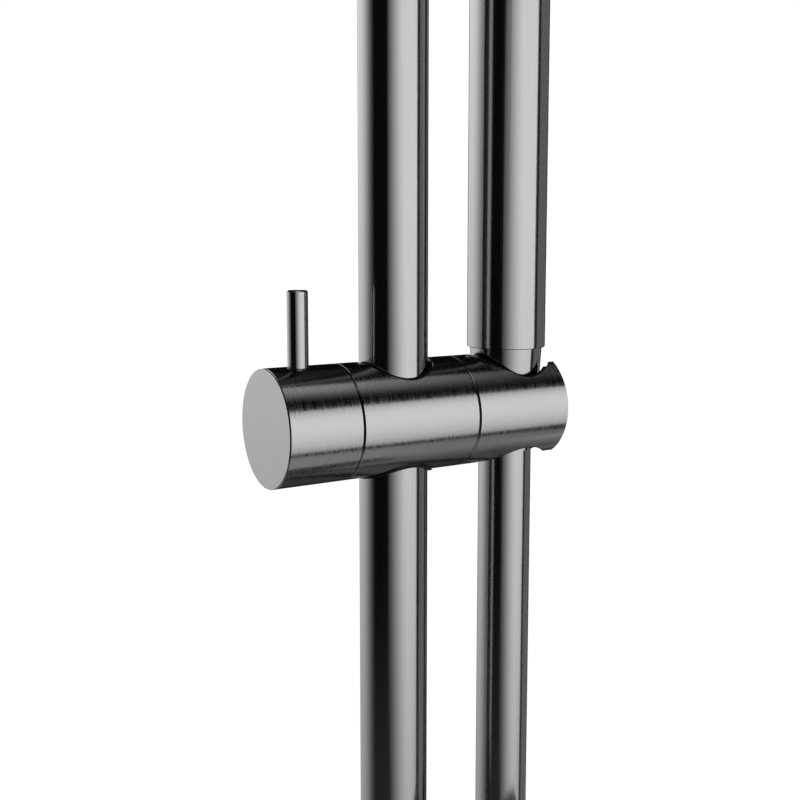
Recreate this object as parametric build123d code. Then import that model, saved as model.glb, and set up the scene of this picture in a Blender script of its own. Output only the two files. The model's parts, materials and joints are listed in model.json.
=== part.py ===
from build123d import *
from math import pi, radians, sqrt, tan
import os

# A shower slide rail: a round rail on two wall brackets, a cylindrical slider with a locking knob
# on its left and a swivelling handset holder on its right, and the stick handset with its hose.
# Millimetres. X runs from the knob to the holder, Y towards the wall, Z up. The wall is Y = 0,
# the rail's axis is X = 0, and Z = 0 lies midway between the two wall fixings.

# Rail
rail_d = 20.0
rail_wall = 1.5
rail_overhang = 25.0
cap_t = 3.0
cap_plug = 4.0
block_reach = 17.0
inner_fit = 0.05
cut_over = 1.0

# Wall brackets
fixing_spacing = 700.0
wall_gap = 60.0
post_d = 20.0
post_bore_depth = 30.0
spigot_r = 5.0
spigot_end_gap = 2.5
boss_plate_r = 19.0
boss_plate_t = 4.0
boss_spigot_r = 7.0
boss_spigot_length = 16.0
fixing_hole_r = 2.6
countersink_r = 5.4
countersink_depth = 3.2
flange_d = 50.0
flange_t = 8.0
flange_edge = 1.2
flange_fit = 0.3
grub_r = 2.5
grub_y = 8.0
grub_bite = 1.0
clamp_screw_r = 3.0
clamp_screw_recess = 2.9
socket_r = 1.45
socket_depth = 2.0

# Slider: a horizontal cylinder in three lengths, knob, body and holder
slider_z = 110.0
body_d = 33.0
knob_length = 22.0
body_left = 18.3
body_right = 19.2
holder_reach = 11.7
seam = 0.3
edge = 0.2
rim_edge = 0.15

# Bush and glide rings between the body and the rail
bush_gap = 0.35
bush_wall = 0.95
bush_low = 0.5
glide_wall = 0.6
glide_from = 5.0
glide_height = 4.9
glide_slit = 0.8
running_fit = 0.06

# Neck that the knob turns on, with its snap ring and O-ring
neck_r = 7.0
neck_length = 9.5
neck_end_gap = 0.3
snap_at = 6.2
snap_width = 1.1
snap_in = 0.6
snap_out = 0.6
snap_play = 0.1
snap_gap_deg = 50.0
oring_at = 2.4
oring_r = 0.75
oring_fit = 0.05

# Clamp screw, pad and lever
thread_r = 4.0
thread_length = 8.0
thread_pitch = 1.25
face_t = 3.0
flat_half = 3.2
pad_length = 4.5
pad_wrap = 2.0
pad_window_r = 4.4
lever_d = 5.85
lever_at = 10.05
lever_top = 37.4
lever_stub_r = 2.0
lever_stub_end = 6.0
lever_seat_depth = 0.4
lever_edge = 0.4

# Holder: tapered seat, slot and axle
seat_taper_deg = 3.8
seat_bore_r = 12.4
seat_bore_taper_deg = 2.6
slot_width = 18.0
liner_slot_width = 17.6
liner_play = 0.07
liner_recess = 1.25
lead_from = 2.0
lead_deg = 9.0
seat_fit = 0.05
axle_r = 3.5
axle_thread_r = 3.0
axle_thread_length = 6.6
axle_head_r = 4.5
axle_head_t = 2.4
axle_head_gap = 0.58
axle_socket_r = 2.3
web_t = 3.6
washer_r = 9.5
washer_t = 1.2
washer_out = 0.3
disc_spring_t = 0.45
disc_spring_rise = 0.3
disc_spring_r = 4.4
axle_socket_depth = 1.8

# Handset
handset_d = 24.0
handset_wall = 1.6
handset_bottom = 18.43
handset_top = 210.0
handset_edge = 0.2
top_t = 3.0
top_plug = 6.0
window_width = 13.0
window_from = 126.0
window_to = 198.0
window_fit = 0.12
nozzle_rows = 10
nozzle_pitch = 6.2
nozzle_angle = 19.0
nozzle_r = 0.85
nozzle_tip_r = 0.6
nozzle_fit = 0.1
nozzle_proud = 0.5
mat_t = 1.1
mat_margin = 1.0
core_margin = 5.0
chamber_wall = 1.8
chamber_depth = 15.0
water_tube_r = 6.0
water_tube_bore_r = 4.6
water_tube_seat = 4.0
inlet_thread_r = 8.9
inlet_bore_r = 5.5
inlet_flange_t = 8.0
inlet_end = 6.6
valve_length = 8.0
valve_inset = 0.5
valve_wall = 1.4
poppet_gap = 1.0

# Conical hose nut and the hose's upper end
nut_top_r = 11.03
nut_top = 18.35
nut_bottom = -13.0
nut_shoulder = 0.0
nut_shoulder_t = 3.0
nut_thread_fit = 0.1
stem_r = 6.0
stem_collar_t = 1.5
stem_bore_r = 3.6
stem_tail = 15.0
hose_washer_t = 1.8
hose_d = 16.3
hose_bore_r = 5.0
hose_fit = 0.1
neck_end = -28.0
neck_round = 3.0

# Hose: heights below the slider's axis, chosen by hand
drop_top = -28.8
drop_bend = -165.0
slant_end = -268.0
hank_bottom_bend = -340.0
hank_height_gap = 137.0
run_share = 0.45
tail_from = -240.0
tail_bend = -262.0
tail_out = -305.0
tail_shift = 11.0
rail_clear = 4.0
layer_gap = 0.2
strap_t = 2.0
strap_width = 20.0
strap_fit = 0.1
strap_left_z = -272.0
strap_right_z = -316.0

# Nut at the hose's far end
end_mouth = -352.0
end_thread_r = 9.3
end_thread_length = 7.4
end_relief_r = 9.7
end_nut_flats = 24.0
end_shoulder_t = 2.0
end_pocket = 3.0
end_collar_r = 9.1
end_collar_t = 1.6
end_washer_t = 2.0
end_stem_tail = 12.0

# Sizes that follow from those above
rail_r = rail_d / 2
rail_bore_r = rail_r - rail_wall
rail_y = -wall_gap
bracket_z = fixing_spacing / 2
tube_half = bracket_z + rail_overhang - cap_t
post_r = post_d / 2
body_r = body_d / 2
bush_in_r = rail_r + bush_gap
bush_out_r = bush_in_r + bush_wall
body_bore_r = bush_out_r + inner_fit
glide_in_r = rail_r + running_fit
glide_out_r = glide_in_r + glide_wall
washer_floor = body_right + running_fit + washer_t + inner_fit
head_recess = washer_floor + web_t
head_face = head_recess + running_fit + disc_spring_t + disc_spring_rise
seat_x = head_face + axle_head_t + axle_head_gap + seat_bore_r
holder_end = seat_x + holder_reach
holder_start = body_right + seam
knob_face = -body_left - knob_length
knob_back = -body_left - seam
lever_x = knob_face + lever_at
taper = tan(radians(seat_taper_deg))
bore_taper = tan(radians(seat_bore_taper_deg))
handset_r = handset_d / 2
handset_bore_r = handset_r - handset_wall
hose_r = hose_d / 2
turn_r = 3 * hose_d
layer_pitch = hose_d + layer_gap
left_x = seat_x - turn_r
right_x = seat_x + turn_r
hank_top_bend = hank_bottom_bend + hank_height_gap


def rod_x(radius, start, end, y=rail_y, z=slider_z):
    """Cylinder along X between two X positions."""
    return Pos((start + end) / 2, y, z) * Rot(0, 90, 0) * Cylinder(radius, abs(end - start))


def rod_y(radius, start, end, x=0.0, z=0.0):
    """Cylinder along Y between two Y positions."""
    return Pos(x, (start + end) / 2, z) * Rot(90, 0, 0) * Cylinder(radius, abs(end - start))


def rod_z(radius, start, end, x=0.0, y=rail_y):
    """Cylinder along Z between two Z positions."""
    return Pos(x, y, (start + end) / 2) * Cylinder(radius, abs(end - start))


def seat_rod(radius, start, end):
    """Cylinder on the handset's axis, between two heights above the slider's axis."""
    return rod_z(radius, slider_z + start, slider_z + end, x=seat_x)


def seat_cone(radius, start, end, slope=taper):
    """Cone on the handset's axis, widening upwards; radius is measured at the slider's axis."""
    middle = slider_z + (start + end) / 2
    low_r = radius + start * slope
    high_r = radius + end * slope
    return Pos(seat_x, rail_y, middle) * Cone(low_r, high_r, end - start)


def end_edges(solid, axis):
    """Circular edges at both ends of a turned piece."""
    circles = solid.edges().filter_by(GeomType.CIRCLE).sort_by(axis)
    return [circles[0], circles[-1]]


def hex_socket(radius, start, end, axis):
    """Hexagonal key socket between two positions along X, or along Z on the rail's axis."""
    prism = extrude(RegularPolygon(radius, 6), abs(end - start))
    if axis == "x":
        return Pos(min(start, end), rail_y, slider_z) * Rot(0, 90, 0) * prism
    return Pos(0, rail_y, min(start, end)) * prism


# Rail, its ends and its wall brackets; side is 1 for the upper end and -1 for the lower

def make_rail_tube():
    tube = rod_z(rail_r, -tube_half, tube_half) - rod_z(rail_bore_r, -tube_half, tube_half)
    for side in (1, -1):
        tube -= rod_y(spigot_r + inner_fit, rail_y, rail_y + rail_r + cut_over, z=side * bracket_z)
    return tube


def make_rail_cap(side):
    cap = rod_z(rail_r, side * tube_half, side * (tube_half + cap_t))
    outer = cap.edges().filter_by(GeomType.CIRCLE).sort_by(Axis.Z)[-1 if side > 0 else 0]
    cap = chamfer(outer, edge)
    return cap + rod_z(rail_bore_r - inner_fit, side * (tube_half - cap_plug), side * tube_half)


def block_end():
    """Height of the end block's outer end, which the cap's plug rests on."""
    return tube_half - cap_plug - inner_fit


def make_end_block(side):
    z = side * bracket_z
    block = rod_z(rail_bore_r - inner_fit, side * block_end(), side * (bracket_z - block_reach))
    block -= rod_y(spigot_r + inner_fit, rail_y - spigot_reach() - inner_fit, rail_y + rail_r, z=z)
    return block - rod_z(clamp_screw_r + inner_fit, z, side * block_end())


def spigot_reach():
    """How far the bracket's spigot passes beyond the rail's axis."""
    return rail_bore_r - spigot_end_gap


def make_clamp_screw(side):
    start = bracket_z + spigot_r + inner_fit
    end = block_end() - clamp_screw_recess
    screw = rod_z(clamp_screw_r, side * start, side * end)
    return screw - hex_socket(socket_r, side * (end - socket_depth), side * end, "z")


def make_wall_post(side):
    z = side * bracket_z
    back = -boss_plate_t
    post = rod_y(post_r, rail_y, back, z=z)
    post -= rod_z(rail_r + inner_fit / 2, z - post_d, z + post_d)
    post += rod_y(spigot_r, rail_y - spigot_reach(), rail_y + rail_r + cut_over, z=z)
    post -= rod_y(boss_spigot_r + inner_fit, back - post_bore_depth, back, z=z)
    return post - rod_z(grub_r + inner_fit, z, z - post_r, y=back - grub_y)


def make_wall_boss(side):
    z = side * bracket_z
    front = -boss_plate_t - boss_spigot_length
    groove_half = grub_r + inner_fit
    groove_y = -boss_plate_t - grub_y
    boss = rod_y(boss_plate_r, -boss_plate_t, 0, z=z) + rod_y(boss_spigot_r, front, 0, z=z)
    groove = rod_y(boss_spigot_r + cut_over, groove_y - groove_half, groove_y + groove_half, z=z)
    groove -= rod_y(boss_spigot_r - grub_bite, groove_y - groove_half, groove_y + groove_half, z=z)
    boss -= groove
    boss -= rod_y(fixing_hole_r, front, 0, z=z)
    sink = Pos(0, front + countersink_depth / 2, z) * Rot(90, 0, 0)
    return boss - sink * Cone(fixing_hole_r, countersink_r, countersink_depth)


def make_post_screw(side):
    z = side * bracket_z
    y = -boss_plate_t - grub_y
    outer = z - post_r + edge
    inner = z - boss_spigot_r + grub_bite - inner_fit
    screw = rod_z(grub_r, outer, inner, y=y)
    key = Pos(0, y, outer) * extrude(RegularPolygon(socket_r, 6), socket_depth)
    return screw - key


def make_wall_flange(side):
    z = side * bracket_z
    flange = rod_y(flange_d / 2, -flange_t, 0, z=z)
    front_edge = flange.edges().filter_by(GeomType.CIRCLE).sort_by(Axis.Y)[0]
    flange = fillet(front_edge, flange_edge)
    flange -= rod_y(boss_plate_r + flange_fit, -boss_plate_t - flange_fit, 0, z=z)
    return flange - rod_y(post_r + inner_fit, -flange_t, 0, z=z)


# Slider body and what it carries

def make_slider_body():
    body = rod_x(body_r, -body_left, body_right)
    body = fillet(end_edges(body, Axis.X), edge)
    body += rod_x(neck_r, -body_left - neck_length, -body_left)
    body -= rod_z(body_bore_r, slider_z - body_d, slider_z + body_d)
    body = chamfer(body.edges().filter_by(GeomType.BSPLINE), rim_edge)
    body -= plunger_profile(running_fit, -body_left - neck_length, -rail_r)
    body -= rod_x(axle_thread_r + inner_fit, 0, body_right)
    snap_x = -body_left - snap_at
    body -= groove_x(neck_r - snap_in - snap_play, neck_r + cut_over, snap_x, snap_width + 2 * snap_play)
    oring_x = -body_left - oring_at
    return body - groove_x(oring_floor_r(), neck_r + cut_over, oring_x, 2 * oring_r + oring_fit)


def groove_x(inner_r, outer_r, x, width):
    """Ring round the slider's axis, used to cut a groove."""
    return rod_x(outer_r, x - width / 2, x + width / 2) - rod_x(inner_r, x - width / 2, x + width / 2)


def oring_floor_r():
    return neck_r - 2 * oring_r + oring_fit


def plunger_profile(fit, start, end):
    """Round bar with two flats, so that the clamp plunger can slide but can't turn."""
    flats = Box(end - start, 2 * (flat_half + fit), 4 * thread_r)
    return rod_x(thread_r + fit, start, end) & (Pos((start + end) / 2, rail_y, slider_z) * flats)


def make_guide_bush():
    """Plastic sleeve cut to the body's curve; it sits a little low, so its lower rim stands proud."""
    bush = rod_z(bush_out_r, slider_z - body_d, slider_z + body_d)
    bush -= rod_z(bush_in_r, slider_z - body_d, slider_z + body_d)
    bush &= rod_x(body_r, -body_left, body_right, z=slider_z - bush_low)
    for side in (1, -1):
        start = slider_z + side * (glide_from - inner_fit)
        end = slider_z + side * (glide_from + glide_height + inner_fit)
        bush -= rod_z(glide_out_r + running_fit, start, end)
    return bush - rod_x(pad_window_r, -bush_out_r - cut_over, 0)


def make_glide_ring(side):
    start = slider_z + side * glide_from
    end = slider_z + side * (glide_from + glide_height)
    ring = rod_z(glide_out_r, start, end) - rod_z(glide_in_r, start, end)
    slit = Box(2 * glide_out_r, glide_slit, 2 * glide_height)
    return ring - Pos(glide_out_r, rail_y, (start + end) / 2) * slit


def make_snap_ring():
    x = -body_left - snap_at
    ring = groove_x(neck_r - snap_in, neck_r + snap_out, x, snap_width)
    opening = Box(4 * snap_width, 2 * neck_r * tan(radians(snap_gap_deg / 2)), neck_r)
    return ring - Pos(x, rail_y, slider_z - neck_r) * opening


def make_knob_oring():
    x = -body_left - oring_at
    ring = Torus(oring_floor_r() + oring_r + oring_fit / 2, oring_r)
    return Pos(x, rail_y, slider_z) * Rot(0, 90, 0) * ring


# Knob, lever and the clamp that it drives

def make_knob():
    knob = rod_x(body_r, knob_face, knob_back)
    knob = fillet(end_edges(knob, Axis.X), edge)
    neck_end = -body_left - neck_length - neck_end_gap
    knob -= rod_x(neck_r + 2 * oring_fit, neck_end, knob_back)
    knob -= rod_x(thread_r + running_fit, knob_face + face_t, neck_end)
    snap_x = -body_left - snap_at
    knob -= groove_x(neck_r, neck_r + snap_out + 2 * snap_play, snap_x, snap_width + 2 * snap_play)
    seat_z = slider_z + body_r - lever_seat_depth
    knob -= rod_z(lever_d / 2 + inner_fit, seat_z, slider_z + body_r + cut_over, x=lever_x)
    return knob - rod_z(lever_stub_r + inner_fit, slider_z + lever_stub_end - inner_fit, seat_z, x=lever_x)


def make_lever_pin():
    seat_z = slider_z + body_r - lever_seat_depth
    pin = rod_z(lever_d / 2, seat_z, slider_z + lever_top, x=lever_x)
    pin = chamfer(pin.edges().filter_by(GeomType.CIRCLE).sort_by(Axis.Z)[-1], lever_edge)
    return pin + rod_z(lever_stub_r, slider_z + lever_stub_end, seat_z, x=lever_x)


def plunger_end():
    """X of the face between the plunger and its pad."""
    return -rail_r - pad_length


def make_clamp_plunger():
    neck_end = -body_left - neck_length
    bar = plunger_profile(0, neck_end, plunger_end())
    return bar + rod_x(thread_r, neck_end - thread_length, neck_end)


def make_brake_pad():
    pad = plunger_profile(0, plunger_end(), -rail_r + pad_wrap)
    return pad - rod_z(rail_r + running_fit, slider_z - body_r, slider_z + body_r)


# Holder, its liner and its axle

def make_holder_shell():
    holder = rod_x(body_r, holder_start, holder_end)
    holder = chamfer(end_edges(holder, Axis.X), edge)
    holder -= seat_cone(seat_bore_r, -body_r, body_r, bore_taper)
    holder -= slot_box(slot_width)
    rims = [rim for rim in holder.edges().filter_by(GeomType.BSPLINE) if rim.length > slot_width]
    holder = chamfer(rims, rim_edge)
    holder -= rod_x(washer_r + inner_fit, holder_start - cut_over, washer_floor)
    holder -= rod_x(axle_r + running_fit, holder_start, seat_x)
    return holder - rod_x(axle_head_r + washer_out, head_recess, seat_x)


def slot_box(width):
    """Block from the handset's axis out through the holder's end and beyond."""
    return Pos(seat_x + body_r, rail_y, slider_z) * Box(body_d, width, 2 * body_d)


def make_holder_liner():
    """Plastic sleeve in the seat, with a wider mouth that leads the nut in."""
    seat_r = nut_axis_r() + liner_play
    lead = tan(radians(lead_deg))
    liner = seat_cone(seat_bore_r - seat_fit, -body_r, body_r, bore_taper)
    liner -= seat_cone(seat_r, -body_r, body_r)
    liner -= seat_cone(seat_r - lead_from * (lead - taper), lead_from, body_r, lead)
    liner &= rod_x(body_r - liner_recess, holder_start, holder_end + body_r)
    return liner - slot_box(liner_slot_width)


def make_friction_washer():
    start = body_right + running_fit
    washer = rod_x(washer_r, start, start + washer_t)
    return washer - rod_x(axle_r + running_fit, start, start + washer_t)


def make_disc_spring():
    """Dished washer under the axle screw's head, revolved about the slider's axis."""
    x = head_recess + running_fit
    inner = axle_r + running_fit
    points = [(x, disc_spring_r), (x + disc_spring_t, disc_spring_r)]
    points += [(x + disc_spring_t + disc_spring_rise, inner), (x + disc_spring_rise, inner)]
    section = make_face(Polyline(*points, close=True))
    return Pos(0, rail_y, slider_z) * revolve(section, Axis.X)


def make_axle_screw():
    end = head_face + axle_head_t
    screw = rod_x(axle_head_r, head_face, end) + rod_x(axle_r, body_right, head_face)
    screw += rod_x(axle_thread_r, body_right - axle_thread_length, body_right)
    return screw - hex_socket(axle_socket_r, end - axle_socket_depth, end, "x")


# Handset

def window_prism(width, margin, depth_from, depth_to):
    """Upright slot-ended prism through the front of the handset, between two depths along Y."""
    height = window_to - window_from + 2 * margin
    slot = SlotOverall(height, width + 2 * margin, rotation=90)
    middle = slider_z + (window_from + window_to) / 2
    face = Plane(origin=(seat_x, 0, middle), x_dir=(1, 0, 0), z_dir=(0, -1, 0))
    prism = extrude(face * slot, depth_to - depth_from)
    return Pos(0, rail_y - depth_from, 0) * prism


def make_handset_barrel():
    top = handset_top - top_t
    barrel = seat_rod(handset_r, handset_bottom, top)
    barrel = chamfer(barrel.edges().filter_by(GeomType.CIRCLE).sort_by(Axis.Z)[0], handset_edge)
    barrel -= seat_rod(handset_bore_r, handset_bottom, top)
    return barrel - window_prism(window_width, window_fit, 0, handset_d)


def make_handset_cap():
    cap = seat_rod(handset_r, handset_top - top_t, handset_top)
    cap = chamfer(cap.edges().filter_by(GeomType.CIRCLE).sort_by(Axis.Z)[-1], handset_edge)
    return cap + seat_rod(handset_bore_r - inner_fit, handset_top - top_t - top_plug, handset_top - top_t)


def nozzle_places():
    """Angle from the front and height of each nozzle, in three staggered columns."""
    middle = (window_from + window_to) / 2
    places = []
    for column in (-1, 0, 1):
        rows = nozzle_rows if column == 0 else nozzle_rows - 1
        for row in range(rows):
            height = middle + (row - (rows - 1) / 2) * nozzle_pitch
            places.append((column * nozzle_angle, height))
    return places


def nozzle_frame(angle, height, start, end):
    """Place for a round solid that points outwards between two radii of the handset."""
    place = Pos(seat_x, rail_y, slider_z + height) * Rot(0, 0, angle) * Pos(0, -(start + end) / 2, 0)
    return place * Rot(90, 0, 0)


def make_spray_plate():
    low = window_from - cut_over
    high = window_to + cut_over
    plate = seat_rod(handset_r, low, high) - seat_rod(handset_bore_r, low, high)
    plate &= window_prism(window_width, 0, 0, handset_d)
    hole = Cylinder(nozzle_r + nozzle_fit, handset_wall + 2 * cut_over)
    for angle, height in nozzle_places():
        plate -= nozzle_frame(angle, height, handset_bore_r - cut_over, handset_r + cut_over) * hole
    return plate


def mat_out_r():
    return handset_bore_r - inner_fit


def make_nozzle_mat():
    low = window_from - core_margin
    high = window_to + core_margin
    mat = seat_rod(mat_out_r(), low, high) - seat_rod(mat_out_r() - mat_t, low, high)
    mat &= window_prism(window_width, mat_margin, 0, handset_d)
    start = mat_out_r() - mat_t / 2
    end = handset_r + nozzle_proud
    nozzle = Cone(nozzle_r, nozzle_tip_r, end - start)
    for angle, height in nozzle_places():
        mat += nozzle_frame(angle, height, start, end) * nozzle
    return mat


def core_low():
    return window_from - 2 * core_margin


def core_high():
    return handset_top - top_t - top_plug - inner_fit


def make_spray_core():
    core = seat_rod(handset_bore_r - inner_fit, core_low(), core_high())
    rebate = seat_rod(handset_bore_r, core_low(), core_high())
    rebate -= seat_rod(mat_out_r() - mat_t - inner_fit, core_low(), core_high())
    core -= rebate & window_prism(window_width, mat_margin + inner_fit, 0, handset_d)
    core -= window_prism(window_width - 2 * chamber_wall, 0, handset_r - chamber_depth, handset_d)
    core -= seat_rod(water_tube_r + inner_fit, core_low(), core_low() + water_tube_seat)
    return core - seat_rod(water_tube_bore_r - inner_fit, core_low(), window_from + window_width / 2)


def inlet_top():
    return handset_bottom + inlet_flange_t


def make_water_tube():
    low = inlet_top() - water_tube_seat
    high = core_low() + water_tube_seat
    return seat_rod(water_tube_r, low, high) - seat_rod(water_tube_bore_r, low, high)


def make_handset_inlet():
    inlet = seat_rod(handset_bore_r - inner_fit, handset_bottom, inlet_top())
    inlet += seat_rod(inlet_thread_r, inlet_end, handset_bottom)
    inlet -= seat_rod(inlet_bore_r, inlet_end, inlet_end + valve_length + 2 * valve_inset)
    inlet -= seat_rod(water_tube_bore_r, inlet_end, inlet_top())
    return inlet - seat_rod(water_tube_r + inner_fit, inlet_top() - water_tube_seat, inlet_top())


def make_check_valve():
    """Valve body, open below, with its closed poppet standing in the opening."""
    low = inlet_end + valve_inset
    middle = low + valve_length / 2
    opening_r = inlet_bore_r - valve_wall
    valve = seat_rod(inlet_bore_r - inner_fit, low, low + valve_length)
    valve -= seat_rod(opening_r, low, middle)
    return valve + seat_rod(opening_r - poppet_gap, low + poppet_gap, middle)


# Hose end in the holder

def nut_axis_r():
    """Nut's cone radius where it crosses the slider's axis."""
    return nut_top_r - nut_top * taper


def make_hose_nut():
    nut = seat_cone(nut_axis_r(), nut_bottom, nut_top)
    nut -= seat_rod(inlet_thread_r + nut_thread_fit, nut_shoulder + nut_shoulder_t, nut_top)
    nut -= seat_rod(stem_r + nut_thread_fit, nut_shoulder, nut_shoulder + nut_shoulder_t)
    return nut - seat_rod(hose_r + hose_fit, nut_bottom, nut_shoulder)


def make_hose_stem():
    shoulder_top = nut_shoulder + nut_shoulder_t
    stem = seat_rod(inlet_thread_r - nut_thread_fit, shoulder_top, shoulder_top + stem_collar_t)
    stem += seat_rod(stem_r, nut_shoulder, shoulder_top)
    stem += seat_rod(hose_bore_r - inner_fit, nut_shoulder - stem_tail, nut_shoulder)
    return stem - seat_rod(stem_bore_r, nut_shoulder - stem_tail, shoulder_top + stem_collar_t)


def make_hose_washer():
    low = nut_shoulder + nut_shoulder_t + stem_collar_t + inner_fit
    washer = seat_rod(inlet_thread_r - nut_thread_fit, low, low + hose_washer_t)
    return washer - seat_rod(stem_r, low, low + hose_washer_t)


def make_hose_neck():
    """First stretch of the hose, which tilts with the holder; its end is rounded to clear the drop."""
    neck = seat_rod(hose_r, neck_end, nut_shoulder - hose_fit)
    neck = fillet(neck.edges().filter_by(GeomType.CIRCLE).sort_by(Axis.Z)[0], neck_round)
    return neck - seat_rod(hose_bore_r, neck_end, nut_shoulder)


# Hose below the holder; layer 0 of the hank is nearest to the rail

def layer_y(layer):
    return rail_y - rail_r - rail_clear - hose_r - layer * layer_pitch


def hose_tube(points):
    """Tube along straight runs joined by arcs, each as large as its two runs allow."""
    corners = [Vector(*p) for p in points]
    radii = []
    for before, here, after in zip(corners, corners[1:], corners[2:]):
        turn = radians((here - before).get_angle(after - here))
        shorter = min((here - before).length, (after - here).length)
        radii.append(run_share * shorter / tan(turn / 2))
    path = FilletPolyline(*corners, radius=radii)
    section = Circle(hose_r) - Circle(hose_bore_r)
    tube = sweep(Plane(origin=path @ 0, z_dir=path % 0) * section, path=path)
    area = pi * (hose_r**2 - hose_bore_r**2)
    print("hose bends", [round(r) for r in radii], "volume over section times length",
          round(tube.volume / (area * path.length), 4))
    return tube


def make_hose_drop():
    return hose_tube([
        (seat_x, rail_y, slider_z + drop_top),
        (seat_x, rail_y, slider_z + drop_bend),
        (right_x, layer_y(0), slider_z + slant_end),
        (right_x, layer_y(0), slider_z + hank_bottom_bend),
    ])


def make_hose_tail():
    out_y = layer_y(2) - tail_shift
    tail_end = end_mouth + end_stack() + end_shoulder_t + hose_fit
    return hose_tube([
        (right_x, layer_y(2), slider_z + tail_from),
        (right_x, layer_y(2), slider_z + tail_bend),
        (right_x, out_y, slider_z + tail_out),
        (right_x, out_y, slider_z + tail_end),
    ])


def turns_section(layers, origin, direction):
    """Outline round the hose turns that lie side by side in these layers."""
    middle = (layer_y(layers[0]) + layer_y(layers[-1])) / 2
    if len(layers) == 1:
        shape = Circle(hose_r)
    else:
        shape = SlotOverall((len(layers) - 1) * layer_pitch + hose_d, hose_d)
    place = Plane(origin=(origin[0], middle, origin[1]), x_dir=(0, 1, 0), z_dir=direction)
    return place * shape, middle


def hank_arc(middle, height, start, end):
    """Half or quarter turn of the hank, between two angles in degrees seen from the front."""
    place = Plane(origin=(seat_x, middle, slider_z + height), x_dir=(1, 0, 0), z_dir=(0, -1, 0))
    return place * CenterArc((0, 0), turn_r, start, end - start)


def make_hose_hank():
    """Outer shape of two and a half long turns, hung in front of the rail."""
    low = slider_z + hank_bottom_bend
    high = slider_z + hank_top_bend
    section, middle = turns_section((1, 2), (seat_x, high + turn_r), (1, 0, 0))
    path = hank_arc(middle, hank_top_bend, 90, 0) + Line(
        (right_x, middle, high), (right_x, middle, slider_z + tail_from))
    hank = sweep(section, path=path)
    hank += rod_z(hose_r, slider_z + tail_from, low, x=right_x, y=layer_y(1))
    section, middle = turns_section((0, 1), (right_x, low), (0, 0, -1))
    path = hank_arc(middle, hank_bottom_bend, 0, -180) + Line(
        (left_x, middle, low), (left_x, middle, high)) + hank_arc(middle, hank_top_bend, 180, 90)
    return hank + sweep(section, path=path)


def make_hose_strap(x, height):
    """Strap round the two inner turns on one side of the hank."""
    wide = layer_pitch + hose_d + 2 * strap_fit
    thick = hose_d + 2 * strap_fit
    outline = SlotOverall(wide + 2 * strap_t, thick + 2 * strap_t) - SlotOverall(wide, thick)
    middle = (layer_y(0) + layer_y(1)) / 2
    low = slider_z + height - strap_width / 2
    return Pos(x, middle, low) * Rot(0, 0, 90) * extrude(outline, strap_width)


def end_stack():
    """From the end nut's mouth to its inner shoulder."""
    return end_thread_length + end_washer_t + end_collar_t + inner_fit


def end_rod(radius, start, end):
    """Cylinder on the end nut's axis, measured up from its mouth."""
    mouth = slider_z + end_mouth
    return rod_z(radius, mouth + start, mouth + end, x=right_x, y=layer_y(2) - tail_shift)


def make_end_nut():
    length = end_stack() + end_shoulder_t + end_pocket
    mouth = slider_z + end_mouth
    prism = extrude(RegularPolygon(end_nut_flats / 2, 6, major_radius=False), length)
    nut = Pos(right_x, layer_y(2) - tail_shift, mouth) * prism
    nut -= end_rod(end_thread_r, 0, end_thread_length)
    nut -= end_rod(end_relief_r, end_thread_length, end_stack())
    nut -= end_rod(stem_r + hose_fit, end_stack(), end_stack() + end_shoulder_t)
    return nut - end_rod(hose_r + hose_fit, end_stack() + end_shoulder_t, length)


def make_end_stem():
    top = end_stack() + end_shoulder_t + hose_fit
    bottom = end_stack() - end_collar_t
    stem = end_rod(end_collar_r, bottom, end_stack()) + end_rod(stem_r, end_stack(), top)
    stem += end_rod(hose_bore_r - inner_fit, top, top + end_stem_tail)
    return stem - end_rod(stem_bore_r, bottom, top + end_stem_tail)


def make_end_washer():
    top = end_stack() - end_collar_t - inner_fit
    return end_rod(end_collar_r, end_thread_length, top) - end_rod(stem_r, end_thread_length, top)


pieces = {
    "rail_tube": make_rail_tube(),
    "slider_body": make_slider_body(),
    "guide_bush": make_guide_bush(),
    "glide_ring_upper": make_glide_ring(1),
    "glide_ring_lower": make_glide_ring(-1),
    "snap_ring": make_snap_ring(),
    "knob_oring": make_knob_oring(),
    "knob": make_knob(),
    "lever_pin": make_lever_pin(),
    "clamp_plunger": make_clamp_plunger(),
    "brake_pad": make_brake_pad(),
    "holder_shell": make_holder_shell(),
    "holder_liner": make_holder_liner(),
    "friction_washer": make_friction_washer(),
    "disc_spring": make_disc_spring(),
    "axle_screw": make_axle_screw(),
    "handset_barrel": make_handset_barrel(),
    "handset_cap": make_handset_cap(),
    "spray_plate": make_spray_plate(),
    "nozzle_mat": make_nozzle_mat(),
    "spray_core": make_spray_core(),
    "water_tube": make_water_tube(),
    "handset_inlet": make_handset_inlet(),
    "check_valve": make_check_valve(),
    "hose_nut": make_hose_nut(),
    "hose_stem": make_hose_stem(),
    "hose_washer": make_hose_washer(),
    "hose_neck": make_hose_neck(),
    "hose_drop": make_hose_drop(),
    "hose_hank": make_hose_hank(),
    "hose_tail": make_hose_tail(),
    "hose_strap_left": make_hose_strap(left_x, strap_left_z),
    "hose_strap_right": make_hose_strap(right_x, strap_right_z),
    "end_nut": make_end_nut(),
    "end_stem": make_end_stem(),
    "end_washer": make_end_washer(),
}
for name, side in (("upper", 1), ("lower", -1)):
    pieces["rail_cap_" + name] = make_rail_cap(side)
    pieces["end_block_" + name] = make_end_block(side)
    pieces["clamp_screw_" + name] = make_clamp_screw(side)
    pieces["wall_post_" + name] = make_wall_post(side)
    pieces["wall_boss_" + name] = make_wall_boss(side)
    pieces["post_screw_" + name] = make_post_screw(side)
    pieces["wall_flange_" + name] = make_wall_flange(side)

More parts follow.
